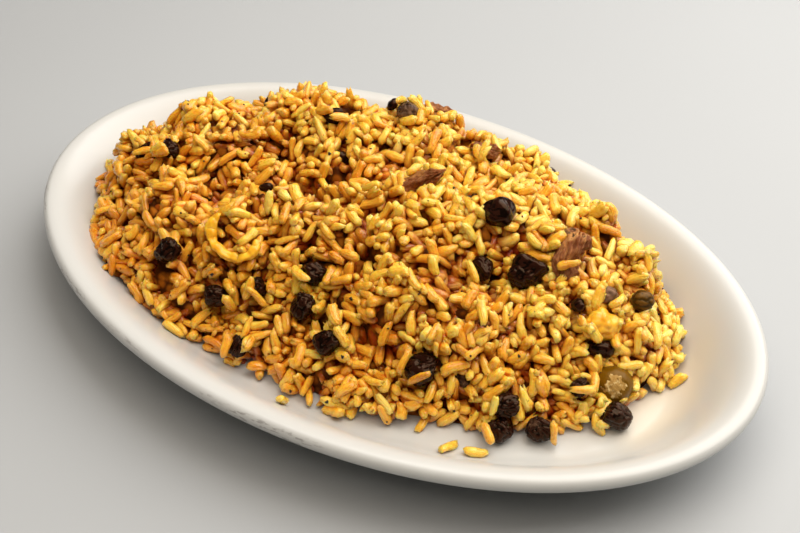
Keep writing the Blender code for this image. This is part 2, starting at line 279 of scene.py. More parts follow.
def build_piece(name, body, material, slot, replaced=(), **features):
    """Closed bodies as one mesh: each is a stack of rings shut by a fan at both poles.

    body holds grids of bodies x rings x sides x 3, then the first and the last poles. The
    rings run towards the last pole and turn anticlockwise about that way, so the faces
    point out. A feature has a value for each body or for each point.
    """
    grids, first_poles, last_poles = body
    bodies, rings, sides = grids.shape[:3]
    points = np.concatenate([first_poles[:, None], grids.reshape(bodies, -1, 3), last_poles[:, None]], 1)
    each = points.shape[1]
    side = np.arange(sides)
    after = (side + 1) % sides
    row = np.arange(rings - 1)[:, None] * sides
    walls = np.stack([row + side, row + after, row + sides + after, row + sides + side], -1)
    last_ring = 1 + (rings - 1) * sides
    first_fan = np.stack([np.zeros(sides, int), 1 + after, 1 + side], -1)
    last_fan = np.stack([np.full(sides, each - 1), last_ring + side, last_ring + after], -1)
    loop = np.concatenate([1 + walls.reshape(-1), first_fan.reshape(-1), last_fan.reshape(-1)])
    loops = (loop[None] + np.arange(bodies)[:, None] * each).reshape(-1)
    corners = np.concatenate([np.full((rings - 1) * sides, 4), np.full(2 * sides, 3)])
    corners = np.tile(corners, bodies)

    mesh = bpy.data.meshes.new(name)
    mesh.vertices.add(bodies * each)
    mesh.vertices.foreach_set("co", points.reshape(-1).astype(np.float32))
    mesh.loops.add(len(loops))
    mesh.loops.foreach_set("vertex_index", loops.astype(np.int32))
    mesh.polygons.add(len(corners))
    mesh.polygons.foreach_set("loop_start", (np.cumsum(corners) - corners).astype(np.int32))
    mesh.update(calc_edges=True)
    mesh.validate()
    mesh.shade_smooth()
    for label, values in features.items():
        values = np.asarray(values, np.float32)
        if len(values) == bodies:
            values = np.repeat(values, each, axis=0)
        kind, field = ("FLOAT_VECTOR", "vector") if values.ndim == 2 else ("FLOAT", "value")
        mesh.attributes.new(label, kind, "POINT").data.foreach_set(field, values.reshape(-1))
    mesh.materials.append(material)
    piece = bpy.data.objects.new(name, mesh)
    bpy.context.scene.collection.objects.link(piece)
    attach(piece, "root")
    if replaced:
        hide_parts(*replaced)


def node_corners(name):
    """Corners of a CAD node, three numbers each, and its triangles."""
    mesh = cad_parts[name].data
    corners = np.zeros(len(mesh.vertices) * 3, np.float32)
    mesh.vertices.foreach_get("co", corners)
    mesh.calc_loop_triangles()
    triangles = np.zeros(len(mesh.loop_triangles) * 3, np.int32)
    mesh.loop_triangles.foreach_get("vertices", triangles)
    return corners.reshape(-1, 3).astype(float), triangles.reshape(-1, 3)


def lie_of(name):
    """Middle, own axes from longest to shortest, and half sizes of a CAD lump."""
    corners, _ = node_corners(name)
    mean = corners.mean(0)
    axes = np.linalg.svd(corners - mean, full_matrices=False)[2]
    if np.linalg.det(axes) < 0:
        axes[2] *= -1
    own = (corners - mean) @ axes.T
    low, high = own.min(0), own.max(0)
    return mean + (low + high) / 2 @ axes, axes, (high - low) / 2


def round_grid(rings, sides):
    """Rings of a ball of radius one: a share t along its axis, and the angle round it."""
    t = np.sin(np.linspace(-math.pi / 2, math.pi / 2, rings + 2)[1:-1])
    turn = np.arange(sides) * math.tau / sides
    return np.broadcast_arrays(t[:, None], turn[None])


def ball_grid(rings, sides, power=2):
    """Rings along x: at a share t of the half length the half width is (1 - |t|^power)^0.5."""
    t, turn = round_grid(rings, sides)
    girth = (1 - np.abs(t) ** power) ** 0.5
    return np.stack([t, girth * np.cos(turn), girth * np.sin(turn)], -1)


def shaped_ball(ball, shape):
    """Body made by shaping a ball and its two poles, and the feature that the shape gives each point."""
    grid, feature = shape(ball)
    ends, end_feature = shape(np.array([[-1.0, 0, 0], [1.0, 0, 0]]))
    feature = np.concatenate([end_feature[:1], feature.reshape(-1), end_feature[1:]])
    return (grid[None], ends[:1], ends[1:]), feature


# ---- platter and heap maps

BEAN_NODES = sorted(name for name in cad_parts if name.startswith("bean_"))
PORK_NODES = sorted(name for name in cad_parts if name.startswith("pork_"))
LUMP_NODES = [*BEAN_NODES, *PORK_NODES, "olive", "caper", "squash_lump"]
STEP = 1.5 * MM
MARGIN = 14 * MM
MAP_X = np.arange(HEAP_LOW.x - MARGIN, HEAP_HIGH.x + MARGIN, STEP)
MAP_Y = np.arange(HEAP_LOW.y - MARGIN, HEAP_HIGH.y + MARGIN, STEP)
HEAP_MIDDLE = np.array([(HEAP_LOW.x + HEAP_HIGH.x) / 2, (HEAP_LOW.y + HEAP_HIGH.y) / 2])
POCKET_CELLS = 4  # half the width of the widest pocket, in map cells
OUTLINE_SLOTS = 90
BANK = 1.3  # how steeply the top goes down beyond its edge
PUFFS = ((0.0016, 0.024, 11), (0.0012, 0.012, 12))  # height, wavelength and seed of the heap's swellings
COLLAR = 0.0026  # how far rice is heaped up round each lump

# Gaps between the clumps of rice, as lines in the plan: depth, half width, then points x, y, in millimetres.
CREVICES = (
    (6.0, 4.0, (-67, -12), (-59, -16), (-52, -25), (-48, -36), (-46, -41)),
    (7.0, 4.2, (-46, 8), (-38, 4), (-30, -2), (-17, -4), (-7, -4), (3, -1)),
    (5.0, 4.5, (-54, 10), (-45, 5)),
    (5.5, 4.0, (5, 3), (12, 14), (20, 20), (25, 31)),
    (5.0, 3.5, (38, -7), (45, -2), (47, 3), (46, 9)),
    (4.5, 3.5, (-37, -46), (-29, -42), (-21, -36), (-9, -37), (-3, -34)),
    (3.0, 4.0, (-11, -26), (-6, -26), (-1, -34)),
    (4.5, 3.5, (2, -46), (10, -43), (16, -39), (27, -36)),
    (4.5, 3.5, (32, -39), (42, -36), (54, -33)),
    (4.5, 3.5, (62, -31), (67, -32), (81, -24)),
    (4.0, 3.0, (78, -13), (84, -13)),
    (4.0, 3.0, (35, -21), (41, -26)),
    (4.0, 3.0, (58, -19), (66, -21)),
    (3.0, 3.0, (-23, -54), (-16, -56)),
    (4.0, 3.5, (-83, -41), (-65, -39), (-50, -36)),
    (4.5, 4.0, (-31, 24), (-22, 12)),
    (4.0, 3.5, (-32, -24), (-25, -26), (-16, -22)),
    (5.0, 4.0, (-70, 25), (-62, 10), (-72, 2)),
    (5.0, 4.0, (0, 45), (15, 38), (30, 45)),
    (4.5, 4.0, (52, 34), (60, 22), (74, 22)),
    (4.0, 3.5, (-20, 50), (-12, 36)),
)


def rim_height(inset):
    """Top of the platter at an inset from its edge: half a cosine wave from lip to well."""
    platter = settings_of("platter")
    share = np.clip((platter.rim_span - inset) / (platter.rim_span - platter.lip_reach), 0, 1)
    return platter.well_height + (PLATTER_HIGH.z - platter.well_height) * (1 - np.cos(math.pi * share)) / 2


def platter_height(x, y):
    """Top of the platter above a point of the plan: its inset is found by halving."""
    low, high = np.full(np.shape(x), -0.03), np.full(np.shape(x), PLATTER_HIGH.y - 0.001)
    for _ in range(30):
        middle = (low + high) / 2
        inside = (x / (PLATTER_HIGH.x - middle)) ** 2 + (y / (PLATTER_HIGH.y - middle)) ** 2 < 1
        low, high = np.where(inside, middle, low), np.where(inside, high, middle)
    return rim_height(np.maximum(low, settings_of("platter").lip_reach))


def line_distance(plan, points):
    """Distance in the plan from a line of joined pieces."""
    points = np.array(points) * MM
    nearest = np.full(plan.shape[:-1], np.inf)
    for start, stop in zip(points[:-1], points[1:]):
        way = stop - start
        share = np.clip((plan[..., :2] - start) @ way / (way @ way), 0, 1)
        apart = plan[..., :2] - start - share[..., None] * way
        nearest = np.minimum(nearest, np.linalg.norm(apart, axis=-1))
    return nearest


def spread(field, pick, cells):
    """Every cell takes the highest or the lowest value near it, round by round."""
    for turn in range(cells):
        edged = np.pad(field, 1, mode="edge")
        rows, columns = field.shape
        steps = [(0, 1), (2, 1), (1, 0), (1, 2)] + ([(0, 0), (0, 2), (2, 0), (2, 2)] if turn % 2 else [])
        for i, j in steps:
            field = pick(field, edged[i : i + rows, j : j + columns])
    return field


def close_gaps(field):
    """Fills pits and cracks: high values spread first, and low ones then take the edges back."""
    return spread(spread(field, np.maximum, POCKET_CELLS), np.minimum, POCKET_CELLS)


def smooth(field, cells):
    """Mean over a square of cells, along one axis and then the other."""
    for axis in (0, 1):
        edged = np.pad(field, [(cells, cells) if one == axis else (0, 0) for one in (0, 1)], mode="edge")
        cell = np.arange(field.shape[axis])
        field = sum(np.take(edged, cell + step, axis) for step in range(2 * cells + 1)) / (2 * cells + 1)
    return field


@lru_cache
def heap_outline():
    """Angle and radius of the heap's edge on the platter, about the heap's middle."""
    offset = node_corners("rice_heap")[0][:, :2] - HEAP_MIDDLE
    turn = np.arctan2(offset[:, 1], offset[:, 0])
    slots = ((turn + math.pi) / math.tau * OUTLINE_SLOTS).astype(int) % OUTLINE_SLOTS
    furthest = np.zeros(OUTLINE_SLOTS)
    np.maximum.at(furthest, slots, np.hypot(*offset.T))
    return (np.arange(OUTLINE_SLOTS) + 0.5) / OUTLINE_SLOTS * math.tau - math.pi, furthest


def edge_radius(turn):
    """Radius of the heap's edge at any angle."""
    return np.interp(turn, *heap_outline(), period=math.tau)


@lru_cache
def heap_maps():
    """Maps of the heap's top, its slopes, the platter, how far a point lies beyond the edge, and a cover.

    Rays find the top. Pockets under the beans are closed by spreading high values and then
    low ones. Beyond its edge the top goes on down as a steep bank, so that grains are
    pushed back in. Puffs, crevices and collars make clumps and hollows. The cover is the
    top with its gaps closed.
    """
    corners, triangles = node_corners("rice_heap")
    tree = BVHTree.FromPolygons(corners.tolist(), triangles.tolist())
    down = Vector((0, 0, -1))
    hits = [[tree.ray_cast(Vector((x, y, 1)), down)[0] for y in MAP_Y] for x in MAP_X]
    top = np.array([[hit.z if hit else np.nan for hit in row] for row in hits])
    x, y = np.meshgrid(MAP_X, MAP_Y, indexing="ij")
    platter = platter_height(x, y)
    plan = np.stack([x, y, np.zeros_like(x)], -1)
    offset = plan[..., :2] - HEAP_MIDDLE
    turn, radius = np.arctan2(offset[..., 1], offset[..., 0]), np.hypot(offset[..., 0], offset[..., 1])
    beyond = radius - edge_radius(turn) * (1 + 0.02 * ripples(plan, 0.03, 5))
    top = np.where(np.isnan(top), platter, top)
    closed = close_gaps(top)
    middles = np.array([lie_of(name)[0][:2] for name in LUMP_NODES])
    reach = np.array([lie_of(name)[2].max() for name in LUMP_NODES]) + 2 * STEP
    away = np.linalg.norm(plan[..., None, :2] - middles, axis=-1)
    top = np.where((away < reach).any(-1), closed, top)
    inland = np.clip(-beyond / 0.012, 0, 1)
    puffs = sum(height * ripples(plan, wave, seed) for height, wave, seed in PUFFS) + 0.0010
    sway = 0.0012 * ripples(plan, 0.010, 13)
    for depth, width, *points in CREVICES:
        gap = np.maximum(line_distance(plan, points) + sway, 0)
        puffs = puffs - depth * MM * np.exp(-((gap / (width * MM)) ** 2))
    top = top + (puffs + 0.3 * (top - smooth(top, 9))) * inland
    ring = away / (reach - 2 * STEP)
    top = top + COLLAR * np.exp(-((ring - 1.05) ** 2) / 0.12).max(-1) * inland
    top = np.minimum(top, HEAP_HIGH.z)
    top = np.where(beyond > 0, platter - BANK * beyond, top)
    slope_x, slope_y = np.gradient(top, STEP)
    cover = smooth(close_gaps(top), 1)
    return dict(top=top, slope_x=slope_x, slope_y=slope_y, platter=platter, beyond=beyond, cover=cover)


def read_map(name, x, y):
    """Value of a map between its cells, shared out among the four nearest."""
    field = heap_maps()[name]
    u = np.clip((x - MAP_X[0]) / STEP, 0, len(MAP_X) - 1.001)
    v = np.clip((y - MAP_Y[0]) / STEP, 0, len(MAP_Y) - 1.001)
    i, j = u.astype(int), v.astype(int)
    u, v = u - i, v - j
    near = field[i, j] * (1 - v) + field[i, j + 1] * v
    far = field[i + 1, j] * (1 - v) + field[i + 1, j + 1] * v
    return near * (1 - u) + far * u


def depth_and_normal(points):
    """How far points lie under the heap's top, square to it, and the way out."""
    x, y, z = points.T
    way = np.stack([-read_map("slope_x", x, y), -read_map("slope_y", x, y), np.ones(len(points))], -1)
    steepness = np.linalg.norm(way, axis=-1)
    return (read_map("top", x, y) - z) / steepness, way / steepness[:, None]


# ---- places of the small beans and the onion

# Small beans and scraps among the grains: x, y, length, width, turn in degrees, sinking.
SMALL_BEANS = (
    (-0.028, 0.017, 0.0062, 0.0050, 30, 0.0010),
    (-0.026, 0.044, 0.0052, 0.0040, 80, 0.0006),
    (0.051, -0.033, 0.0058, 0.0046, 10, 0.0022),
    (0.0706, 0.0010, 0.0050, 0.0042, 60, 0.0006),
    (-0.0355, -0.0140, 0.0052, 0.0034, 20, 0.0004),
    (-0.0700, 0.0300, 0.0066, 0.0056, 70, 0.0012),
    (-0.0300, 0.0560, 0.0070, 0.0058, 15, 0.0008),
    (0.0300, 0.0580, 0.0068, 0.0056, 50, 0.0006),
    (-0.0920, 0.0120, 0.0070, 0.0056, 100, 0.0010),
    (0.0100, 0.0620, 0.0074, 0.0062, 120, 0.0010),
)
ONION_START, ONION_STOP = math.radians(-212), math.radians(32)
ONION_HALF = 1.7 * MM  # half the thickness of the onion's CAD tube


def small_bean_lie(bean):
    """Middle, axes and half sizes of a small bean that lies flat on the heap's slope."""
    x, y, length, width, turn, sinking = bean
    point = np.array([[x, y, 0.0]])
    normal = depth_and_normal(point)[1][0]
    point[0, 2] = read_map("top", point[:, 0], point[:, 1])[0]
    angle = math.radians(turn)
    along = unit(np.cross(normal, [-math.sin(angle), math.cos(angle), 0]))
    axes = np.stack([along, np.cross(normal, along), normal])
    return point[0] - normal * sinking, axes, np.array([length, width, width * 0.9]) / 2


def onion_path(steps):
    """Middle of the onion: an open ellipse in the plan, at the height of the CAD tube there."""
    corners, _ = node_corners("onion_ring")
    low, high = corners.min(0)[:2], corners.max(0)[:2]
    turn = np.linspace(ONION_START, ONION_STOP, steps)
    plan = (low + high) / 2 + ((high - low) / 2 - ONION_HALF) * np.stack([np.cos(turn), np.sin(turn)], -1)
    near = np.argsort(np.linalg.norm(plan[:, None] - corners[None, :, :2], axis=-1), axis=1)[:, :24]
    height = np.pad(corners[near, 2].mean(1), 2, mode="edge")
    return np.column_stack([plan, np.convolve(height, np.full(5, 0.2), mode="valid")])


def blocks():
    """Everything that the grains keep out of: middles, axes and half sizes."""
    lies = [lie_of(name) for name in LUMP_NODES] + [small_bean_lie(bean) for bean in SMALL_BEANS]
    middles, axes, halves = (np.array(values) for values in zip(*lies))
    path = onion_path(24)
    middles = np.concatenate([middles, path])
    axes = np.concatenate([axes, np.tile(np.eye(3), (len(path), 1, 1))])
    halves = np.concatenate([halves * 0.82, np.full((len(path), 3), 0.8 * MM)])
    return middles, axes, halves


# ---- packing the grains

BEADS = np.array([-1, -1 / 3, 1 / 3, 1])  # balls that stand for a grain, as shares of its half length
PUSH = 0.42  # share of an overlap that each of two balls gives way in a round
TRIES = 400000  # random points among which the grains' middles are found
# The crowd of grains round a point sets its painted shade.
CROWD_CELL = 0.6 * MM
CROWD_REACH = 1.1 * MM  # how far outside a grain the rice round it is looked up
GRAIN_RINGS, GRAIN_SIDES = 7, 8

# How many grains lean on each lump from the sides.
LEANING = dict(
    bean_19=4, bean_17=4, bean_16=4, bean_14=2, bean_21=1, bean_22=2, bean_20=2, bean_08=3, bean_10=3,
    bean_09=3, bean_11=2, bean_02=2, bean_03=2, bean_06=2, bean_07=2, bean_12=2, bean_05=2, bean_04=2,
    olive=2, squash_lump=6, pork_1=3, pork_2=3, pork_3=1, pork_4=3, bean_18=1, bean_24=3, bean_15=1,
)


def close_pairs(points, reach):
    """Index pairs of points in the same or neighbouring cells of a grid whose cells are reach wide."""
    cell = np.floor(points / reach).astype(np.int64)
    cell -= cell.min(0) - 1
    size = cell.max(0) + 2
    key = (cell[:, 0] * size[1] + cell[:, 1]) * size[2] + cell[:, 2]
    order = np.argsort(key, kind="stable")
    ranked = key[order]
    firsts, seconds = [], []
    near = (-1, 0, 1)
    for i, j, k in [(i, j, k) for i in near for j in near for k in near if (i, j, k) >= (0, 0, 0)]:
        wanted = key + (i * size[1] + j) * size[2] + k
        start, stop = np.searchsorted(ranked, wanted, "left"), np.searchsorted(ranked, wanted, "right")
        count = stop - start
        first = np.repeat(np.arange(len(points)), count)
        run = np.arange(count.sum()) - np.repeat(np.cumsum(count) - count, count)
        second = order[np.repeat(start, count) + run]
        keep = first < second if (i, j, k) == (0, 0, 0) else slice(None)
        firsts.append(first[keep])
        seconds.append(second[keep])
    return np.concatenate(firsts), np.concatenate(seconds)


def pile(values, owners, count):
    """Sums of three numbers for each owner."""
    return np.stack([np.bincount(owners, values[:, axis], count) for axis in range(3)], -1)


def settle(middles, axes, halves, radii, proud_by):
    """Pushes overlapping grains apart, each a row of four balls.

    Every round finds the balls that overlap and moves both back along the line between
    them, holds each ball under the heap's top, above the platter, within the layer and
    out of the toppings, and turns and moves each grain by what its balls were moved.
    """
    rice = settings_of("rice")
    block_middles, block_axes, block_halves = blocks()
    count = len(middles)
    owner = np.repeat(np.arange(count), len(BEADS))
    radius = np.repeat(radii, len(BEADS))
    arm = (halves[:, None] * BEADS).reshape(-1)
    spread_of_arms = (arm.reshape(count, -1) ** 2).sum(1)
    for _ in range(rice.rounds):
        balls = middles[owner] + axes[owner] * arm[:, None]
        first, second = close_pairs(balls, 2 * radii.max())
        apart = balls[first] - balls[second]
        gap = np.linalg.norm(apart, axis=1)
        overlap = radius[first] + radius[second] - gap
        hit = (overlap > 0) & (owner[first] != owner[second])
        push = apart[hit] / np.maximum(gap[hit], 1e-9)[:, None] * overlap[hit, None] * PUSH
        move = pile(push, first[hit], len(balls)) - pile(push, second[hit], len(balls))

        depth, normal = depth_and_normal(balls)
        above = np.maximum(radius * 0.75 - proud_by[owner] - depth, 0)
        below = np.maximum(depth - rice.layer, 0)
        move += normal * (below - above)[:, None]
        floor = read_map("platter", balls[:, 0], balls[:, 1]) + radius * 0.95
        move[:, 2] += np.maximum(floor - balls[:, 2], 0)
        own = np.einsum("nbk,bjk->nbj", balls[:, None] - block_middles[None], block_axes)
        share = np.linalg.norm(own / (block_halves[None] + radius[:, None, None] * 0.9), axis=-1)
        out = own * (1 / np.maximum(share, 0.3) - 1)[..., None] * (share < 1)[..., None]
        move += np.einsum("nbj,bjk->nk", out, block_axes)

        grouped = move.reshape(count, -1, 3)
        middles = middles + grouped.mean(1)
        axes = unit(axes + (grouped * arm.reshape(count, -1, 1)).sum(1) / spread_of_arms[:, None])
    return middles, axes


@lru_cache
def packed_grains():
    """Middles, axes, lengths and widths of the heap's grains, and which of them are broken.

    The middles are those of many random points that lie within the layer, more of them at
    the sticky right end. The count follows from the layer's volume.
    """
    rice = settings_of("rice")
    chance = np.random.default_rng(rice.seed)
    x = chance.uniform(MAP_X[0], MAP_X[-1], TRIES)
    y = chance.uniform(MAP_Y[0], MAP_Y[-1], TRIES)
    points = np.stack([x, y, chance.uniform(0, HEAP_HIGH.z, TRIES)], -1)
    depth, _ = depth_and_normal(points)
    inside = (depth > 0.001) & (depth < rice.layer) & (points[:, 2] > read_map("platter", x, y) + 0.001)
    inside &= read_map("beyond", x, y) < 0
    loose = 0.72
    inside &= chance.random(TRIES) < loose + (1 - loose) * stickiness(points)
    points = points[inside]
    volume = (MAP_X[-1] - MAP_X[0]) * (MAP_Y[-1] - MAP_Y[0]) * HEAP_HIGH.z * inside.mean() / 0.82
    grain_volume = math.pi / 6 * rice.grain_length * rice.grain_width**2 * 1.05
    count = min(int(volume * rice.fill / grain_volume), len(points))
    middles = points[:count]
    axes = unit(chance.normal(size=(count, 3)))
    broken = chance.random(count) < 0.14
    shares = np.where(broken, chance.uniform(0.5, 0.72, count), chance.normal(1, 0.09, count))
    lengths = rice.grain_length * shares
    widths = rice.grain_width * chance.normal(1, 0.10, count)
    radii = widths * (0.325 - 0.085 * stickiness(middles))
    halves = np.maximum(lengths / 2 - radii, 0.0004)
    middles, axes = settle(middles, axes, halves, radii, rice.proud * chance.random(count) ** 2.2)
    return middles, axes, lengths, widths, broken


def stickiness(points):
    """Rises from 0 to 1 towards the right end of the heap, where the grains cling together."""
    return np.clip((points[:, 0] - 0.02) / 0.05, 0, 1)


@lru_cache
def all_grains():
    """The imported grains, and grains that lean on the beans and other lumps from the sides."""
    rice = settings_of("rice")
    chance = np.random.default_rng(23)
    lies = [lie_of(name) for name, number in LEANING.items() for _ in range(number)]
    centre, own, half = (np.array(values) for values in zip(*lies))
    count = len(centre)
    rise = np.radians(chance.uniform(0, 38, count))
    turn = chance.uniform(0, math.tau, count)
    out = np.stack([np.cos(rise) * np.cos(turn), np.cos(rise) * np.sin(turn), np.sin(rise)], -1)
    shares = np.einsum("nk,njk->nj", out, own) / half
    skin = centre + out / np.linalg.norm(shares, axis=1)[:, None]
    normal = unit(np.einsum("nj,njk->nk", shares / half, own))
    wide = rice.grain_width * chance.normal(0.98, 0.08, count)
    spin = unit(np.cross(normal, [0, 0, 1.0]))
    lean = chance.normal(0, 0.9, count)[:, None]
    way = unit(spin * np.cos(lean) + np.cross(normal, spin) * np.sin(lean))
    spot = skin + normal * (wide * 0.42)[:, None]
    keep = spot[:, 2] > read_map("top", spot[:, 0], spot[:, 1]) - 0.0045
    long = rice.grain_length * chance.normal(0.95, 0.08, count)
    added = (spot[keep], way[keep], long[keep], wide[keep], np.zeros(keep.sum(), bool))
    return tuple(np.concatenate(pair) for pair in zip(packed_grains(), added))


def grain_grids(middles, axes, lengths, widths, seed, ragged):
    """Rice grains as stacks of rings.

    At a share t from -1 to 1 along the grain the half width is (1 - |t|^p)^0.54 with a blunt
    power p, less a taper towards one end. The section is an oval with swellings, and in
    some a cleft along one side. The middle line bows by a parabola and sways by a sine,
    and some grains end in two prongs.
    """
    count, rings, sides = len(middles), GRAIN_RINGS + 2, GRAIN_SIDES
    chance = np.random.default_rng(seed)
    side = unit(np.cross(axes, unit(chance.normal(size=(count, 3)))))
    other = np.cross(axes, side)
    t = np.sin(np.linspace(-math.pi / 2, math.pi / 2, rings))[None, :, None]
    turn = (np.arange(sides) * math.tau / sides)[None, None]

    def each(low, high):
        return chance.uniform(low, high, (count, 1, 1))

    profile = np.clip(1 - np.abs(t) ** each(2.8, 6.0), 0, 1) ** 0.54 * (1 - each(-0.20, 0.20) * t)
    swell = 1 + each(0, 0.11) * np.sin(2 * turn + each(0, math.tau) + 2.5 * t)
    swell = swell + each(0, 0.09) * np.sin(3.6 * t + each(0, math.tau))
    swell = swell + chance.normal(0, 0.065, (count, rings, sides))
    cleft = np.maximum(np.cos(turn - each(0, math.tau)), 0) ** 3
    swell = swell - each(-0.25, 0.42).clip(0) * cleft * (1 - 0.6 * t**2)
    half = widths[:, None, None] / 2 * profile * swell
    across, up = half * np.sin(turn), half * each(0.74, 0.98) * np.cos(turn)
    long = lengths[:, None, None]
    across = across + long * each(-0.12, 0.12) * (t**2 - 0.4)
    up = up + long * each(-0.05, 0.05) * np.sin(2.6 * t)
    prongs = each(-0.3, 0.6).clip(0) * np.clip(t, 0, 1) ** 4 * np.cos(turn - each(0, math.tau)) ** 2
    prongs = prongs + 0.06 * chance.normal(size=(count, rings, sides)) * np.abs(t) ** 3
    prongs[:, 0], prongs[:, -1] = 0.10, -0.10
    slant = half * 0.25 * np.sin(turn + each(0, math.tau))
    along = long / 2 * t + slant + widths[:, None, None] * prongs * ragged
    frames = [value[:, None, None] for value in (axes, side, other)]
    sizes = (along, across, up)
    grids = middles[:, None, None] + sum(way * size[..., None] for way, size in zip(frames, sizes))
    return grids[:, 1:-1], grids[:, 0].mean(1), grids[:, -1].mean(1)


@lru_cache
def crowding():
    """How much rice is round each cell of a grid, smoothed, from points along every grain, for the painted
    shade between grains.
    """
    middles, axes, lengths, widths, _ = packed_grains()
    shares = np.linspace(-0.4, 0.4, 9)
    points = middles[:, None] + axes[:, None] * (shares[None, :, None] * lengths[:, None, None])
    points = points.reshape(-1, 3)
    low = points.min(0) - 8 * CROWD_CELL
    size = np.ceil((points.max(0) - low) / CROWD_CELL).astype(int) + 8
    cell = ((points - low) / CROWD_CELL + 0.5).astype(int)
    amount = np.repeat(widths**2 * lengths, len(shares)) / len(shares)
    flat = (cell[:, 0] * size[1] + cell[:, 1]) * size[2] + cell[:, 2]
    field = np.bincount(flat, amount, size.prod()).reshape(size) / CROWD_CELL**3
    for axis in (0, 0, 0, 1, 1, 1, 2, 2, 2):
        field = (np.roll(field, 1, axis) + field + np.roll(field, -1, axis)) / 3
    return low, field


def crowd_at(points):
    """Crowding in the cell that holds each point."""
    low, field = crowding()
    cell = ((points - low) / CROWD_CELL + 0.5).astype(int)
    return field[tuple(np.clip(cell, 0, np.array(field.shape) - 1).T)]


def places_on_grains(count, seed):
    """Each point's place on a grain of radius one, shifted for each grain, and its share along it."""
    t = np.sin(np.linspace(-math.pi / 2, math.pi / 2, GRAIN_RINGS + 2))
    along = np.concatenate([t[:1], np.repeat(t[1:-1], GRAIN_SIDES), t[-1:]])
    turn = np.tile(np.arange(GRAIN_SIDES) * math.tau / GRAIN_SIDES, GRAIN_RINGS)
    circle = np.concatenate([[[0, 0]], np.stack([np.cos(turn), np.sin(turn)], -1), [[0, 0]]])
    shift = np.random.default_rng(seed).uniform(0, 60, (count, 1, 3))
    return (np.column_stack([circle, along])[None] + shift).reshape(-1, 3), np.tile(along, count)


# ---- materials


def glaze_material():
    platter = settings_of("platter")
    wires = Wires("glaze", Coat_Weight=0.10, Coat_Roughness=0.20, IOR=1.5)
    cloud = wires.noise(14)
    tone = wires.blend(cloud, 0.3, 0.75, platter.glaze, tinted(platter.glaze, 0.97, 0.96, 0.94))
    x, y, z = (wires.node("SeparateXYZ", wires.place, result=axis) for axis in "XYZ")
    pool = ((x - 0.101) / 0.012) ** 2 + ((y - 0.004) / 0.030) ** 2
    pool = 1 - wires.window(pool + (cloud - 0.5) * 1.2, 0.3, 1.3)
    tone = wires.mix(pool * 0.30, tone, platter.stain)
    round_way = (x / PLATTER_HIGH.x) ** 2 + (y / PLATTER_HIGH.y) ** 2
    lip = wires.window(round_way, 0.965, 0.985) * wires.window(z, 0.018, 0.020)
    side = wires.window(0.06 - x, 0.0, 0.04) * wires.window(0 - y, 0.0, 0.03)
    streaks = wires.window(wires.streaks(wires.place, 300, 300, 1500), 0.50, 0.64)
    scuffs = streaks * lip * wires.window(wires.noise(70, 2), 0.46, 0.60) * side
    tone = wires.mix(scuffs * 0.6, tone, platter.scuff)
    rough = 0.26 + wires.noise(420, 2) * 0.08 + scuffs * 0.3
    return wires.finish(tone, rough, wires.bump(wires.noise(90, 2), 0.25, 0.00006))


def rice_material():
    """Yellow over the grain, with painted shade: browner and darker where it lies deep in the heap or where
    other grains crowd it.
    """
    rice = settings_of("rice")
    wires = Wires(
        "rice_grain", Subsurface_Weight=0.75, Subsurface_Radius=(0.55, 1, 1), Subsurface_Scale=0.0015,
        Coat_Weight=0.8, Coat_Roughness=0.15, IOR=1.45,
    )
    where = wires.feature("grain_place", "Vector")
    blotch = wires.noise(420, 3, 0.6)
    grooves = wires.streaks(where, 1.6, 1.6, 0.5)
    tint = wires.feature("grain_tint") + (grooves - 0.5) * 0.9 + (blotch - 0.5) * 0.9
    stops = ((0, rice.shade), (0.34, rice.amber), (0.66, rice.bright), (1, rice.pale))
    colour = wires.node("ValToRGB", tint, stops=stops)
    colour = wires.mix(wires.window(wires.feature("grain_end"), 0.72, 1.0) * 0.3, colour, rice.pale)
    crowd, depth = wires.feature("grain_crowd"), wires.feature("grain_depth")
    # Painted shade between and under the grains: browner where other grains crowd a point, darker deep in
    # the heap.
    colour = wires.mix(wires.window(crowd, 0.4, 2.2), colour, (0.82, 0.36, 0.07), "MULTIPLY")
    colour = wires.mix(wires.window(depth, 0.05, 0.90), colour, (0.42, 0.12, 0.010), "MULTIPLY")
    specks = wires.window(wires.noise(900, 1, 0.4), 0.74, 0.80)
    colour = wires.mix(specks * 0.7, colour, (0.16, 0.06, 0.02))
    rough = 0.30 + (blotch - 0.5) * 0.5 + depth * 0.2
    height = wires.streaks(where, 2.8, 2.8, 0.7) * 1.2 + wires.noise(800, 3, 0.6) * 0.9
    return wires.finish(colour, rough, wires.bump(height, 1.0, 0.0006))


def painted_shade_core_material():
    # Painted shade: the core is dark brown, not rice yellow, and darker still at the rims of its cells,
    # where the gaps between grains are.
    wires = Wires("rice_core", IOR=1.2)
    cells = wires.node("TexVoronoi", inputs={"Vector": wires.place, "Scale": 260}, result="Distance")
    cloud = wires.noise(180)
    colour = wires.blend(cloud, 0.3, 0.7, (0.22, 0.055, 0.004), (0.42, 0.13, 0.008))
    colour = wires.blend(cells, 0.25, 0.6, colour, (0.06, 0.014, 0.002))
    return wires.finish(colour, 0.6 + cloud * 0.1, wires.bump(1 - cells, 0.8, 0.001))


def bean_material():
    beans = settings_of("beans")
    wires = Wires("bean_skin", Specular_Tint=(1.0, 0.62, 0.36, 1.0), IOR=1.34)
    cloud = wires.noise(260, 4, 0.6)
    colour = wires.blend(wires.feature("fold") + (cloud - 0.5) * 0.8, 0.25, 0.8, beans.black, beans.purple)
    worn = wires.window(cloud + wires.feature("wear"), 0.85, 1.15)
    colour = wires.mix(worn, colour, beans.grey)
    rough = 0.08 + cloud * 0.12 + worn * 0.3
    return wires.finish(colour, rough, wires.bump(cloud + wires.noise(1500, 2) * 0.2, 0.4, 0.0003))


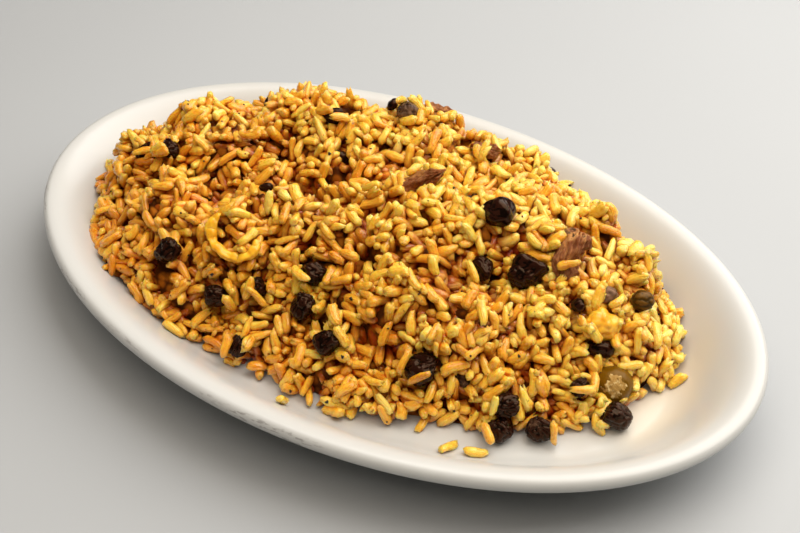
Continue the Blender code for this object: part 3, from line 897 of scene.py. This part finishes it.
def pork_material():
    toppings = settings_of("toppings")
    wires = Wires(
        "pork", Specular_Tint=(1.0, 0.75, 0.45, 1.0), IOR=1.42, Subsurface_Weight=0.35,
        Subsurface_Radius=(1, 0.5, 0.3), Subsurface_Scale=0.0012,
    )
    fibre = wires.streaks(wires.feature("own_place", "Vector"), 500, 3600, 3600, detail=4)
    cloud = wires.noise(260)
    tone = fibre + (cloud - 0.5) * 0.9 + (wires.feature("fold") - 0.5) * 0.2
    colour = wires.blend(tone, 0.32, 0.72, toppings.pork_dark, toppings.pork_light)
    end = wires.feature("end")
    colour = wires.mix(wires.window(cloud + end * 0.12, 0.52, 0.72) * 0.7, colour, (0.62, 0.30, 0.085))
    char = wires.window(wires.noise(520, 2) + wires.window(end, 0.5, 1.0) * 0.22, 0.70, 0.80)
    colour = wires.mix(char * 0.85, colour, (0.03, 0.008, 0.003))
    return wires.finish(colour, 0.34 + cloud * 0.25, wires.bump(fibre + cloud * 0.6, 0.9, 0.0007))


def olive_material():
    toppings = settings_of("toppings")
    wires = Wires("olive_skin", Specular_Tint=(1.0, 0.8, 0.5, 1.0), IOR=1.36)
    torn = wires.feature("torn")
    cloud, frayed = wires.noise(190), wires.noise(620, 3, 0.6)
    colour = wires.blend(cloud, 0.3, 0.75, toppings.olive, tinted(toppings.olive, 1.5, 1.4, 1.2))
    # The torn flesh is tan, with painted highlights in pale tan where the frayed noise is high.
    flesh = wires.blend(frayed, 0.48, 0.70, toppings.olive_torn, (0.74, 0.55, 0.25))
    colour = wires.blend(torn + (frayed - 0.5) * 0.9, 0.35, 0.60, colour, flesh)
    specks = wires.window(wires.noise(1300, 1), 0.70, 0.78)
    colour = wires.mix(specks * 0.5, colour, (0.10, 0.08, 0.012))
    rough = 0.26 + torn * 0.2 + cloud * 0.1
    return wires.finish(colour, rough, wires.bump(cloud * 0.3 + frayed * torn, 0.6, 0.0006))


def caper_material():
    green = settings_of("toppings").caper
    wires = Wires("caper_skin", Specular_Tint=(1.0, 0.8, 0.5, 1.0), IOR=1.36)
    cloud = wires.noise(420)
    fold = wires.feature("fold") + (cloud - 0.5) * 0.7
    colour = wires.blend(fold, 0.3, 0.9, green, tinted(green, 3.0, 2.8, 3.0))
    return wires.finish(colour, 0.25 + cloud * 0.2, wires.bump(cloud, 0.3, 0.0003))


def soft_material(name, base, speck_share):
    """Translucent flesh with a few specks of pepper."""
    wires = Wires(
        name, Subsurface_Weight=0.6, Subsurface_Radius=(1.0, 0.7, 0.25), Subsurface_Scale=0.002,
        Coat_Weight=0.4, Coat_Roughness=0.14, IOR=1.38,
    )
    cloud = wires.noise(260)
    colour = wires.blend(cloud, 0.25, 0.75, tinted(base, 0.88, 0.80, 0.6), tinted(base, 1.08, 1.22, 1.6))
    specks = wires.window(wires.noise(1000, 1), 0.80 - speck_share, 0.86 - speck_share)
    colour = wires.mix(specks, colour, (0.05, 0.02, 0.008))
    return wires.finish(colour, 0.24 + cloud * 0.2, wires.bump(cloud, 0.8, 0.0006))


def plain_material(name, dark, light, scale, roughness):
    wires = Wires(name)
    cloud = wires.noise(scale)
    return wires.finish(wires.blend(cloud, 0.3, 0.7, dark, light), roughness + cloud * 0.1)


# ---- pieces

# Kinds of grain, and how much longer and wider than the mean each is.
GRAIN_KINDS = dict(rice_long=(1.05, 0.94), rice_plump=(0.95, 1.06), rice_split=(1, 1), rice_broken=(1, 1))
CORE_INSET = 0.0068  # from the heap's edge in to the core's
CORE_OVERLAP = 0.0022  # how far the core reaches up into the layer of grains
# Single grains on the slope of the platter: x, y, turn in degrees.
STRAYS = (
    (0.1017, 0.0153, 60), (-0.0424, -0.0581, 10), (0.0075, -0.0652, 110), (0.0641, -0.0449, 30),
    (-0.0880, -0.0330, 140), (0.0300, 0.0690, 20), (-0.0560, 0.0600, 75), (0.0930, 0.0330, 150),
    (-0.1130, 0.0080, 40), (0.0560, -0.0478, 80),
)
PALE_END_WAY = (-0.557, 0.831, 0.3)  # the way that the paler end of a piece of pork points
PORK_LEAN = {"pork_1": 0.45}  # turn of the fibres off the longest axis, in radians
SMOOTH_BEANS = ("bean_13", "bean_18")
WORN_BEANS = dict(bean_05=0.45, bean_11=0.3, bean_17=0.4, bean_19=0.55, bean_21=0.28, bean_16=0.3)
# The torn patch is torn flesh that also carries painted highlights.
OLIVE_PATCH_WAY = (0.50, -0.62, 0.62)  # the way that the torn patch of the olive faces
PEPPER_COUNT = 130


def platter_section():
    """Insets from the edge and heights: recess, foot, underside, lip, slope and well."""
    platter = settings_of("platter")
    span, reach, top = platter.rim_span, platter.lip_reach, PLATTER_HIGH.z
    lip_half = platter.lip_height / 2
    foot_out, foot_mid, foot_in, recess, shoulder = 0.0300, 0.0332, 0.0366, 0.0024, 0.0012
    section = [(inset, recess) for inset in np.linspace(0.078, 0.042, 10)]

    def wave(share):
        return (1 - np.cos(math.pi * share)) / 2

    share = np.linspace(0, 1, 9)
    section += list(zip(foot_in + (foot_mid - foot_in) * share, recess * (1 - wave(share) ** 0.6)))
    section += list(zip(foot_mid + (foot_out - foot_mid) * share[1:], shoulder * wave(share[1:])))
    share = np.linspace(0, 1, 26)[1:]
    underside = shoulder + (top - platter.lip_height - shoulder) * wave(share)
    section += list(zip(foot_out + (reach - foot_out) * share, underside))
    angle = np.linspace(-math.pi / 2, math.pi / 2, 17)[1:]
    section += list(zip(reach * (1 - np.cos(angle)), top - lip_half + lip_half * np.sin(angle)))
    slope = np.linspace(reach, span, 40)[1:]
    section += list(zip(slope, rim_height(slope)))
    section += [(inset, platter.well_height) for inset in np.linspace(span, 0.078, 12)[1:]]
    return np.array(section).T


def platter():
    """Ellipses stacked along the section."""
    inset, height = platter_section()
    turn = np.arange(224) * math.tau / 224
    x = (PLATTER_HIGH.x - inset)[:, None] * np.cos(turn)
    y = (PLATTER_HIGH.y - inset)[:, None] * np.sin(turn)
    grid = np.stack([x, y, np.broadcast_to(height[:, None], x.shape)], -1)
    body = grid[None], np.array([[0, 0, height[0]]]), np.array([[0, 0, height[-1]]])
    build_piece("glazed_platter", body, glaze_material(), "glaze", ["platter"])


def rice_core():
    """Rings that follow the heap's top at the layer's depth, roughened by ripples."""
    turn = np.arange(150) * math.tau / 150
    share = np.concatenate([[0.35, 0.7], np.linspace(0.985, 0.02, 72)])[:, None]
    radius = edge_radius(turn) - CORE_INSET
    x = HEAP_MIDDLE[0] + share * radius * np.cos(turn)
    y = HEAP_MIDDLE[1] + share * radius * np.sin(turn)
    steepness = np.sqrt(1 + read_map("slope_x", x, y) ** 2 + read_map("slope_y", x, y) ** 2)
    floor = read_map("platter", x, y) + 0.0004
    plan = np.stack([x, y, np.zeros_like(x)], -1)
    relief = 0.0007 * ripples(plan, 0.006, 21) + 0.0005 * np.abs(ripples(plan, 0.0035, 22))
    z = read_map("top", x, y) - steepness * (settings_of("rice").layer - CORE_OVERLAP) + relief
    z = np.maximum(z, floor + 0.0012 * (1 - share))
    z[:3] = floor[:3]
    poles = np.array([[*HEAP_MIDDLE, z[0].min()], [*HEAP_MIDDLE, z[-1].mean()]])
    body = np.stack([x, y, z], -1)[None], poles[:1], poles[1:]
    build_piece("rice_core", body, painted_shade_core_material(), "rice", ["rice_heap"])


def rice_grains():
    """The grains in four kinds. Their tint varies by clumps, and gets paler to the right and back as painted
    light from the side of the key light.
    """
    rice = settings_of("rice")
    middles, axes, lengths, widths, broken = all_grains()
    chance = np.random.default_rng(rice.seed + 1)
    clump = ripples(middles, 0.024, 31) * 0.12 + ripples(middles, 0.009, 32) * 0.07
    # Painted light: the tint rises towards the right and back, where the key light stands.
    slope = middles[:, 0] * 1.3 + middles[:, 1] * 1.8
    tints = np.clip(0.47 + clump + chance.normal(0, 0.11, len(middles)) + slope, 0.02, 0.98)
    sort = np.where(broken, 3, chance.integers(0, 3, len(middles)))
    material = rice_material()
    for number, (name, (longer, wider)) in enumerate(GRAIN_KINDS.items()):
        pick = sort == number
        grains = middles[pick], axes[pick], lengths[pick] * longer, widths[pick] * wider
        ragged = 1.4 if name == "rice_split" else 0.8
        lay_grains(name, grains, tints[pick], material, rice.seed + 10 + number, ragged)
    stray_grains(material)


def lay_grains(name, grains, tints, material, seed, ragged):
    """Builds grains, each point with its depth in the heap and the crowd of grains beside it, which the
    material turns into painted shade.
    """
    middles, axes, lengths, widths = grains
    body = grain_grids(*grains, seed, ragged)
    grids, first, last = body
    points = np.concatenate([first[:, None], grids.reshape(len(grids), -1, 3), last[:, None]], 1)
    points = points.reshape(-1, 3)
    # Depth under the top and under the closed cover, used for the painted shade.
    covered = read_map("cover", points[:, 0], points[:, 1]) - points[:, 2]
    depth = np.clip((depth_and_normal(points)[0] * 0.5 + covered * 0.5 - 0.0005) / 0.0070, 0, 1)
    grain = np.repeat(np.arange(len(middles)), GRAIN_RINGS * GRAIN_SIDES + 2)
    along = ((points - middles[grain]) * axes[grain]).sum(1)
    reach = np.maximum(lengths - widths, 0)[grain] / 2
    spine = middles[grain] + axes[grain] * np.clip(along, -reach, reach)[:, None]
    crowd = crowd_at(points + unit(points - spine) * CROWD_REACH)
    place, share = places_on_grains(len(middles), seed + 50)
    build_piece(
        name, body, material, "rice", grain_place=place, grain_end=np.abs(share), grain_tint=tints,
        grain_depth=depth, grain_crowd=crowd,
    )


def stray_grains(material):
    """Single grains that lie on the slope of the platter beside the heap."""
    x, y, turn = np.array(STRAYS).T
    turn = np.radians(turn)
    small = 0.5 * MM
    slope_x = (platter_height(x + small, y) - platter_height(x - small, y)) / (2 * small)
    slope_y = (platter_height(x, y + small) - platter_height(x, y - small)) / (2 * small)
    normal = unit(np.stack([-slope_x, -slope_y, np.ones(len(x))], -1))
    along = np.stack([np.cos(turn), np.sin(turn), slope_x * np.cos(turn) + slope_y * np.sin(turn)], -1)
    rice = settings_of("rice")
    middles = np.stack([x, y, platter_height(x, y)], -1) + normal * (rice.grain_width * 0.44)
    lengths = rice.grain_length * np.tile([0.9, 1.0], len(x) // 2)
    grains = middles, unit(along), lengths, np.full(len(x), rice.grain_width)
    lay_grains("rice_strays", grains, np.full(len(x), 0.62), material, 77, 1.0)


def lump(lie, rings, sides, seed, power, wrinkle, wavelength, bow=0.0):
    """A lump about its longest axis, and how far each point stands from a fold.

    At a share t along it the half width is (1 - |t|^power)^0.5. The middle line bows by a
    parabola, and folds of the given depth, where ripples cross zero, are pressed in.
    """
    middle, axes, half = lie

    def shape(shares):
        own = shares * half
        own[..., 2] += bow * half[2] * (0.5 - shares[..., 0] ** 2)
        valleys = (1 - np.clip(np.abs(ripples(own * (0.5, 1.3, 1.3), wavelength, seed)) * 1.5, 0, 1)) ** 1.5
        creases = np.abs(ripples(own * (0.7, 1.1, 1.1), wavelength * 0.45, seed + 2)) * 1.8
        creases = (1 - np.clip(creases, 0, 1)) ** 2
        dents = ripples(own, wavelength * 2.4, seed + 1)
        move = 0.0006 * dents * half[2] / 0.004 - wrinkle * (valleys + 0.4 * creases)
        crest = 1 - np.clip(valleys + 0.5 * creases, 0, 1)
        return middle + (own + unit(shares) * move[..., None]) @ axes, crest

    return shaped_ball(ball_grid(rings, sides, power), shape)


def beans():
    """The beans of the model, and further small ones. Some skins are worn, and two are smooth."""
    wrinkle = settings_of("beans").wrinkle
    material = bean_material()
    chance = np.random.default_rng(3)
    for number, name in enumerate(BEAN_NODES):
        deep = wrinkle * (0.25 if name in SMOOTH_BEANS else chance.uniform(0.8, 1.5))
        body, folds = lump(lie_of(name), 44, 60, 40 + number, 2.4, deep, 0.0029, bow=0.2)
        wear = [WORN_BEANS.get(name, 0.0)]
        build_piece(name + "_skin", body, material, "bean_skin", [name], fold=folds, wear=wear)
    made = [
        lump(small_bean_lie(bean), 16, 20, 90 + number, 2.2, wrinkle, 0.0036)
        for number, bean in enumerate(SMALL_BEANS)
    ]
    body = [np.concatenate(parts) for parts in zip(*(one for one, _ in made))]
    folds = np.concatenate([fold for _, fold in made])
    wear = chance.uniform(0, 0.4, len(made))
    build_piece("small_beans", body, material, "bean_skin", fold=folds, wear=wear)


def pork():
    material = pork_material()
    for number, name in enumerate(PORK_NODES):
        pork_piece(name, material, 60 + number)


def pork_piece(name, material, seed):
    """A ragged block whose sides are furrowed along its fibres.

    The half width is (1 - |t|^8)^0.5 round a squared section with exponent 4, torn by
    ripples of several sizes. Fine furrows are waves of the angle that wander along the
    piece, and each fibre ends at its own place, so that the ends are frayed.
    """
    middle, axes, half = lie_of(name)
    if axes[0] @ PALE_END_WAY < 0:
        axes = axes * [[-1], [-1], [1]]
    lean = PORK_LEAN.get(name, 0.0)
    cos, sin = math.cos(lean), math.sin(lean)
    axes = np.stack([cos * axes[0] - sin * axes[1], sin * axes[0] + cos * axes[1], axes[2]])
    t, turn = round_grid(52, 88)
    ring = np.stack([t, np.cos(turn), np.sin(turn)], -1)
    girth = (1 - np.abs(t) ** 8) ** 0.5
    corner = (np.abs(np.cos(turn + 0.4)) ** 4 + np.abs(np.sin(turn + 0.4)) ** 4) ** (-1 / 4)
    wander = 2.0 * ripples(ring * (0.8, 1.4, 1.4), 2.0, seed)
    fibres = 0.5 + 0.5 * np.sin(turn * 34 + wander * 1.5)
    torn = ripples(ring * (1.3, 1, 1), 1.3, seed + 1) * 0.15
    torn = torn + ripples(ring * (1.6, 1.2, 1.2), 0.5, seed + 2) * 0.08
    size = girth * np.minimum(corner, 1.2) * (0.84 + 0.20 * t + torn - 0.03 * fibres)
    fray = 1 + 0.22 * ripples(ring * (0, 1, 1), 0.40, seed + 3) * np.abs(t) ** 2
    bow = 0.22 * (t**2 - 0.4)
    own = np.stack([t * fray, size * np.cos(turn) + bow, size * np.sin(turn)], -1) * half
    tips = np.array([[-0.9, 0.13, 0], [0.9, 0.13, 0]]) * half
    places = np.concatenate([tips[:1], own.reshape(-1, 3), tips[1:]])
    body = (middle + own @ axes)[None], middle + tips[:1] @ axes, middle + tips[1:] @ axes
    fold = np.concatenate([[0.5], fibres.reshape(-1), [0.5]])
    end = np.concatenate([[-1], t.reshape(-1), [1]])
    build_piece(name + "_fibres", body, material, "pork", [name], fold=fold, own_place=places, end=end)


def olive():
    """A nearly round ball whose skin is torn and sunken in one patch."""
    middle, axes, half = lie_of("olive")
    patch = unit(np.array(OLIVE_PATCH_WAY)) @ axes.T

    def shape(shares):
        facing = shares @ patch + 0.07 * ripples(shares, 0.6, 4) + 0.04 * ripples(shares, 0.25, 7)
        torn = np.clip((facing - 0.82) / 0.08, 0, 1)
        torn = torn * torn * (3 - 2 * torn)
        size = 1 + 0.012 * ripples(shares, 0.9, 5) - torn * (0.05 + 0.04 * ripples(shares, 0.16, 6))
        return middle + (shares * size[..., None] * half) @ axes, torn

    body, torn = shaped_ball(ball_grid(44, 56), shape)
    build_piece("olive_skin", body, olive_material(), "olive_skin", ["olive"], torn=torn)


def caper():
    """A closely wrinkled bud."""
    body, folds = lump(lie_of("caper"), 36, 44, 71, 2.4, 0.0004, 0.0060)
    build_piece("caper_bud", body, caper_material(), "caper_skin", ["caper"], fold=folds)


def squash():
    """A lump with small bumps, squared from the ripples that swell it."""
    lie = lie_of("squash_lump")
    (grid, first, last), _ = lump(lie, 40, 52, 81, 2.6, 0.0002, 0.0036)
    bumps = 0.0004 + 0.0004 * ripples(grid, 0.0060, 82) + 0.0005 * np.abs(ripples(grid, 0.0040, 83))
    body = grid + unit(grid - lie[0]) * bumps[..., None], first, last
    material = soft_material("squash_flesh", settings_of("toppings").squash, 0.06)
    build_piece("squash_flesh", body, material, "squash_flesh", ["squash_lump"])


def onion():
    """A flat strip carried round an open ring, with ridges along it, swellings and blunt ends.

    At an angle a round the strip it reaches 1.85 mm times cos a out and 1.25 mm times sin a
    up, less furrows that wander, and ripples swell it like the grains that stick to it.
    """
    steps, sides = 90, 28
    path = onion_path(steps)
    ahead = unit(np.gradient(path, axis=0))
    out = unit(np.cross(ahead, np.array([0, 0, 1.0])))
    up = np.cross(out, ahead)
    turn = np.arange(sides) * math.tau / sides
    circle = np.stack([np.cos(turn), np.sin(turn)], -1)
    share = np.linspace(-1, 1, steps)
    narrow = (1 - np.abs(share) ** 9) ** 0.5 * (1 + 0.10 * np.sin(share * 9 + 1))
    narrow[[0, -1]] = 0.30
    wander = 0.8 * np.sin(share * 7)[:, None]
    ridge = 1 - 0.13 * (0.5 + 0.5 * np.cos(turn * 5 + wander)) * (1 + 0.5 * np.sin(share * 14))[:, None]
    around = path[:, None] + (out[:, None] * circle[..., :1] + up[:, None] * circle[..., 1:]) * 1.5 * MM
    ridge = ridge * (1 + 0.16 * ripples(around, 0.0042, 55))
    wide = 1.85 * MM * narrow[:, None] * ridge * circle[..., 0]
    high = 1.25 * MM * narrow[:, None] * ridge * circle[..., 1]
    grid = path[:, None] + out[:, None] * wide[..., None] + up[:, None] * high[..., None]
    body = grid[None, :, ::-1], path[:1] - ahead[:1] * 0.0003, path[-1:] + ahead[-1:] * 0.0003
    material = soft_material("onion_flesh", settings_of("toppings").onion, 0.03)
    build_piece("onion_strip", body, material, "onion_flesh", ["onion_ring"])


def pepper():
    """Small uneven balls on the outer side of grains near the top."""
    count, rings, sides = PEPPER_COUNT, 3, 5
    middles, axes, lengths, widths, _ = packed_grains()
    depth, normal = depth_and_normal(middles)
    chance = np.random.default_rng(17)
    pick = chance.choice(np.flatnonzero(depth < 0.0024), count, replace=False)
    out = unit(normal[pick] - axes[pick] * (normal[pick] * axes[pick]).sum(-1, keepdims=True))
    slide = chance.uniform(-0.35, 0.35, count)[:, None] * lengths[pick][:, None]
    spots = middles[pick] + axes[pick] * slide + out * (widths[pick] * 0.44)[:, None]
    sizes = 0.00020 + 0.00042 * chance.random((count, 1, 1)) ** 2
    jitter = 1 + chance.uniform(-0.5, 0.4, (count, rings, sides, 1))
    grids = spots[:, None, None] + ball_grid(rings, sides)[None] * jitter * sizes[..., None]
    ends = [spots + np.array([end, 0, 0]) * sizes[:, 0] * 0.9 for end in (-1.0, 1.0)]
    material = plain_material("pepper", (0.006, 0.004, 0.003), (0.035, 0.018, 0.009), 1500, 0.5)
    build_piece("pepper_flecks", (grids, *ends), material, "bean_skin")


def softbox(name, place, size, power, colour):
    """A square light that faces the origin."""
    light = bpy.data.lights.new(name, "AREA")
    light.shape = "SQUARE"
    light.size, light.energy, light.color = size, power, colour
    box = bpy.data.objects.new(name, light)
    box.location = place
    box.rotation_euler = Vector(place).to_track_quat("Z", "Y").to_euler()
    bpy.context.scene.collection.objects.link(box)
    return box


def stage():
    """Camera, two softboxes, an even world and the floor."""
    stage = settings_of("stage")
    scene = bpy.context.scene
    turn, rise = stage.azimuth, stage.elevation
    right = Vector((math.cos(turn), math.sin(turn), 0))
    away = Vector((-math.sin(turn), math.cos(turn), 0))
    up = Vector((0, 0, 1))
    back = Vector((math.sin(turn) * math.cos(rise), -math.cos(turn) * math.cos(rise), math.sin(rise)))
    camera = bpy.data.objects.new("camera", bpy.data.cameras.new("camera"))
    camera.data.lens = stage.lens
    camera.data.sensor_width = 36
    camera.location = Vector(stage.target) + back * stage.distance
    camera.rotation_euler = back.to_track_quat("Z", "Y").to_euler()
    scene.collection.objects.link(camera)
    scene.camera = camera

    softbox("key_light", right * 0.30 + away * 0.18 + up * 0.50, 0.85, stage.key_power, (1, 0.97, 0.93))
    overhead = right * -0.05 - away * 0.20 + up * 0.75
    softbox("fill_light", overhead, 0.70, stage.fill_power, (1, 0.90, 0.78)).visible_glossy = False
    scene.view_settings.view_transform = "Standard"
    scene.world = bpy.data.worlds.new("studio")
    scene.world.use_nodes = True
    sky = scene.world.node_tree.nodes["Background"]
    sky.inputs["Color"].default_value = (1, 0.94, 0.86, 1)
    sky.inputs["Strength"].default_value = stage.ambient

    mesh = bpy.data.meshes.new("floor")
    reach = 3.0
    corners = [(-reach, -reach, 0), (reach, -reach, 0), (reach, reach, 0), (-reach, reach, 0)]
    mesh.from_pydata(corners, [], [(0, 1, 2, 3)])
    pale = stage.floor
    mesh.materials.append(plain_material("floor", pale, tinted(pale, 1.03, 1.03, 1.03), 3, 0.6))
    floor = bpy.data.objects.new("floor", mesh)
    scene.collection.objects.link(floor)


# ---- operators


class PieceOperator:
    bl_options = {"REGISTER", "UNDO"}


class RICE_PLATE_OT_stage(PieceOperator, bpy.types.Operator):
    """Pale floor, soft studio light and the camera"""

    bl_idname = "rice_plate.stage"
    bl_label = "Stage"

    def execute(self, context):
        stage()
        return {"FINISHED"}


class RICE_PLATE_OT_platter(PieceOperator, bpy.types.Operator):
    """Glazed oval platter with a rolled lip and a foot ring"""

    bl_idname = "rice_plate.platter"
    bl_label = "Platter"

    def execute(self, context):
        platter()
        return {"FINISHED"}


class RICE_PLATE_OT_core(PieceOperator, bpy.types.Operator):
    """Packed rice under the loose grains, dark as painted shade"""

    bl_idname = "rice_plate.core"
    bl_label = "Rice core"

    def execute(self, context):
        rice_core()
        return {"FINISHED"}


class RICE_PLATE_OT_grains(PieceOperator, bpy.types.Operator):
    """Loose grains over the core: long, plump, split and broken ones, and strays on the platter"""

    bl_idname = "rice_plate.grains"
    bl_label = "Rice grains"

    def execute(self, context):
        rice_grains()
        return {"FINISHED"}


class RICE_PLATE_OT_beans(PieceOperator, bpy.types.Operator):
    """Dark wrinkled beans, large and small"""

    bl_idname = "rice_plate.beans"
    bl_label = "Beans"

    def execute(self, context):
        beans()
        return {"FINISHED"}


class RICE_PLATE_OT_pork(PieceOperator, bpy.types.Operator):
    """Fibrous pieces of pork"""

    bl_idname = "rice_plate.pork"
    bl_label = "Pork"

    def execute(self, context):
        pork()
        return {"FINISHED"}


class RICE_PLATE_OT_garnish(PieceOperator, bpy.types.Operator):
    """Olive, caper, squash lump and onion ring"""

    bl_idname = "rice_plate.garnish"
    bl_label = "Garnish"

    def execute(self, context):
        olive()
        caper()
        squash()
        onion()
        return {"FINISHED"}


class RICE_PLATE_OT_seasoning(PieceOperator, bpy.types.Operator):
    """Specks of black pepper on the grains"""

    bl_idname = "rice_plate.seasoning"
    bl_label = "Seasoning"

    def execute(self, context):
        pepper()
        return {"FINISHED"}


class RICE_PLATE_PT_panel(bpy.types.Panel):
    """Sizes, colours and pieces of the plate"""

    bl_idname = "RICE_PLATE_PT_panel"
    bl_label = "Rice and Beans Plate"
    bl_space_type = "VIEW_3D"
    bl_region_type = "UI"
    bl_category = "Rice Plate"

    def draw(self, context):
        for operator in OPERATORS:
            self.layout.operator(operator.bl_idname)
        for name, group in SETTINGS.items():
            box = self.layout.box()
            box.label(text=group.__name__.replace("Settings", ""))
            for label in group.__annotations__:
                box.prop(getattr(context.scene, name), label)


OPERATORS = (
    RICE_PLATE_OT_stage,
    RICE_PLATE_OT_platter,
    RICE_PLATE_OT_core,
    RICE_PLATE_OT_grains,
    RICE_PLATE_OT_beans,
    RICE_PLATE_OT_pork,
    RICE_PLATE_OT_garnish,
    RICE_PLATE_OT_seasoning,
)
CLASSES = (*SETTINGS.values(), *OPERATORS, RICE_PLATE_PT_panel)


def register():
    for one in CLASSES:
        bpy.utils.register_class(one)
    for name, group in SETTINGS.items():
        setattr(bpy.types.Scene, name, PointerProperty(type=group))


def unregister():
    for name in SETTINGS:
        delattr(bpy.types.Scene, name)
    for one in reversed(CLASSES):
        bpy.utils.unregister_class(one)


def main():
    register()
    bpy.ops.rice_plate.stage()
    bpy.ops.rice_plate.platter()
    bpy.ops.rice_plate.core()
    bpy.ops.rice_plate.grains()
    bpy.ops.rice_plate.beans()
    bpy.ops.rice_plate.pork()
    bpy.ops.rice_plate.garnish()
    bpy.ops.rice_plate.seasoning()


if __name__ == "__main__":
    main()
